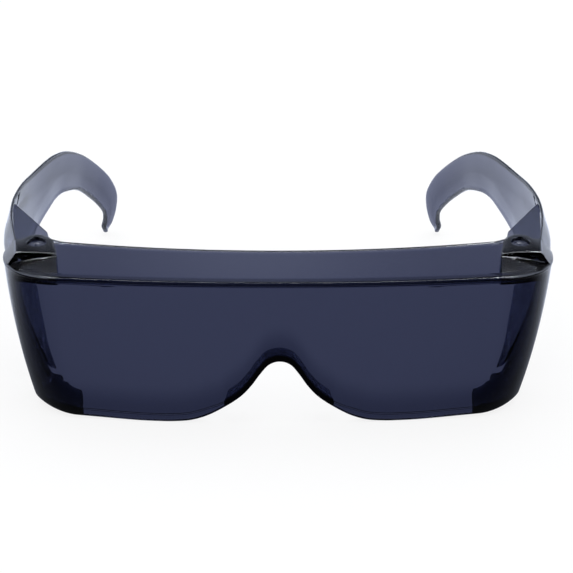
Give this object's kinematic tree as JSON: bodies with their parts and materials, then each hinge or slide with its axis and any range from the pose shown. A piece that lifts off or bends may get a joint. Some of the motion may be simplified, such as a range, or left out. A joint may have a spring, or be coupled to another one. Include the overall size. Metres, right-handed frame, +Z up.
{
  "type": "fit-over sunglasses",
  "caption": "Wrap-round tinted shield with a brow shelf, nose arch and side returns, and wide folding temples on upright hinge pins.",
  "frame": {"origin": "on the floor plane under the middle of the whole part, temples open", "axes": "+X to the wearer's left, across the face; +Y from the lens front to the back of the head; +Z up, along the hinge pins"},
  "size_m": [0.171, 0.127, 0.0525],
  "materials": {
    "tinted_plastic": "polished, see-through blue-grey tint",
    "pin_plastic": "moulded, same tint"
  },
  "bodies": {
    "front": {"front_shield": "tinted_plastic", "hinge_pin_left": "pin_plastic", "hinge_pin_right": "pin_plastic"},
    "temple_left": {"temple_left": "tinted_plastic"},
    "temple_right": {"temple_right": "tinted_plastic"}
  },
  "joints": [
    {"name": "temple_left_fold", "type": "hinge", "parent": "front", "child": "temple_left", "pos_m": [0.0734, -0.0422, 0.045], "axis": [0, 0, 1], "range_deg": [0, 70]},
    {"name": "temple_right_fold", "type": "hinge", "parent": "front", "child": "temple_right", "pos_m": [-0.0734, -0.0422, 0.045], "axis": [0, 0, -1], "range_deg": [0, 85]}
  ]
}
